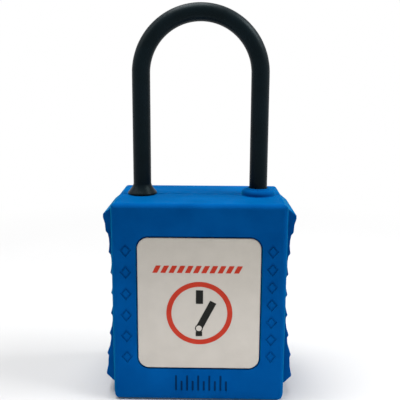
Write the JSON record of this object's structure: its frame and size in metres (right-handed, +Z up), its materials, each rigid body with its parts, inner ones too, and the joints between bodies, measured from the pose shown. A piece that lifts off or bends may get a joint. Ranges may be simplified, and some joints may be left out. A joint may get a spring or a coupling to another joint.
{
  "type": "lockout padlock",
  "caption": "Safety lockout padlock: moulded nylon body with ribbed side grips and white front and rear labels, and a slim tall nylon shackle that lifts when the bottom keyway's plug is turned.",
  "frame": {"origin": "centre of the base, under the middle of the body", "axes": "+X to the right seen from the front, towards the toe leg; +Y to the back; +Z up, towards the bow of the shackle"},
  "size_m": [0.0414, 0.022, 0.0863],
  "materials": {
    "body_nylon": "fine satin texture",
    "shackle_nylon": "satin",
    "label_white": "semi-gloss",
    "zinc": "as cast",
    "brass": "satin",
    "steel": "bright zinc plated"
  },
  "bodies": {
    "housing": {"body": "body_nylon", "front_label": "label_white", "rear_label": "label_white", "heel_pin": "steel", "lock_case": "zinc", "case_screw": "steel", "spring_cover": "brass", "pin_spring_1": "steel", "pin_spring_2": "steel", "pin_spring_3": "steel", "pin_spring_4": "steel", "pin_spring_5": "steel", "pin_spring_6": "steel"},
    "shackle": {"shackle": "shackle_nylon"},
    "plug": {"plug": "brass", "plug_clip": "steel", "cam": "zinc"},
    "latch": {"latch": "steel"},
    "key_pin_1": {"key_pin_1": "brass"},
    "driver_pin_1": {"driver_pin_1": "brass"},
    "key_pin_2": {"key_pin_2": "brass"},
    "driver_pin_2": {"driver_pin_2": "brass"},
    "key_pin_3": {"key_pin_3": "brass"},
    "driver_pin_3": {"driver_pin_3": "brass"},
    "key_pin_4": {"key_pin_4": "brass"},
    "driver_pin_4": {"driver_pin_4": "brass"},
    "key_pin_5": {"key_pin_5": "brass"},
    "driver_pin_5": {"driver_pin_5": "brass"},
    "key_pin_6": {"key_pin_6": "brass"},
    "driver_pin_6": {"driver_pin_6": "brass"}
  },
  "joints": [
    {"name": "shackle_lift", "type": "slide", "parent": "housing", "child": "shackle", "axis": [0, 0, 1], "range_m": [0, 0.012]},
    {"name": "plug_turn", "type": "hinge", "parent": "housing", "child": "plug", "pos_m": [0.00323, 0, 0.014], "axis": [0, 0, 1], "range_deg": [-90, 0]},
    {"name": "latch_slide", "type": "slide", "parent": "housing", "child": "latch", "axis": [1, 0, 0], "range_m": [0, 0.00155]},
    {"name": "key_pin_1_drop", "type": "slide", "parent": "plug", "child": "key_pin_1", "axis": [0, 1, 0], "range_m": [0, 0.00237]},
    {"name": "driver_pin_1_push", "type": "slide", "parent": "housing", "child": "driver_pin_1", "axis": [-1, 0, 0], "range_m": [0, 0.0015], "stiffness_N_per_m": 60, "deforming": ["pin_spring_1"]},
    {"name": "key_pin_2_drop", "type": "slide", "parent": "plug", "child": "key_pin_2", "axis": [0, 1, 0], "range_m": [0, 0.00123]},
    {"name": "driver_pin_2_push", "type": "slide", "parent": "housing", "child": "driver_pin_2", "axis": [-1, 0, 0], "range_m": [0, 0.0015], "stiffness_N_per_m": 60, "deforming": ["pin_spring_2"]},
    {"name": "key_pin_3_drop", "type": "slide", "parent": "plug", "child": "key_pin_3", "axis": [0, 1, 0], "range_m": [0, 0.00199]},
    {"name": "driver_pin_3_push", "type": "slide", "parent": "housing", "child": "driver_pin_3", "axis": [-1, 0, 0], "range_m": [0, 0.0015], "stiffness_N_per_m": 60, "deforming": ["pin_spring_3"]},
    {"name": "key_pin_4_drop", "type": "slide", "parent": "plug", "child": "key_pin_4", "axis": [0, 1, 0], "range_m": [0, 0.00275]},
    {"name": "driver_pin_4_push", "type": "slide", "parent": "housing", "child": "driver_pin_4", "axis": [-1, 0, 0], "range_m": [0, 0.0015], "stiffness_N_per_m": 60, "deforming": ["pin_spring_4"]},
    {"name": "key_pin_5_drop", "type": "slide", "parent": "plug", "child": "key_pin_5", "axis": [0, 1, 0], "range_m": [0, 0.00161]},
    {"name": "driver_pin_5_push", "type": "slide", "parent": "housing", "child": "driver_pin_5", "axis": [-1, 0, 0], "range_m": [0, 0.0015], "stiffness_N_per_m": 60, "deforming": ["pin_spring_5"]},
    {"name": "key_pin_6_drop", "type": "slide", "parent": "plug", "child": "key_pin_6", "axis": [0, 1, 0], "range_m": [0, 0.00237]},
    {"name": "driver_pin_6_push", "type": "slide", "parent": "housing", "child": "driver_pin_6", "axis": [-1, 0, 0], "range_m": [0, 0.0015], "stiffness_N_per_m": 60, "deforming": ["pin_spring_6"]}
  ],
  "couplings": [
    {"joint": "latch_slide", "follows": "plug_turn", "m_per_rad": -0.0009867}
  ]
}
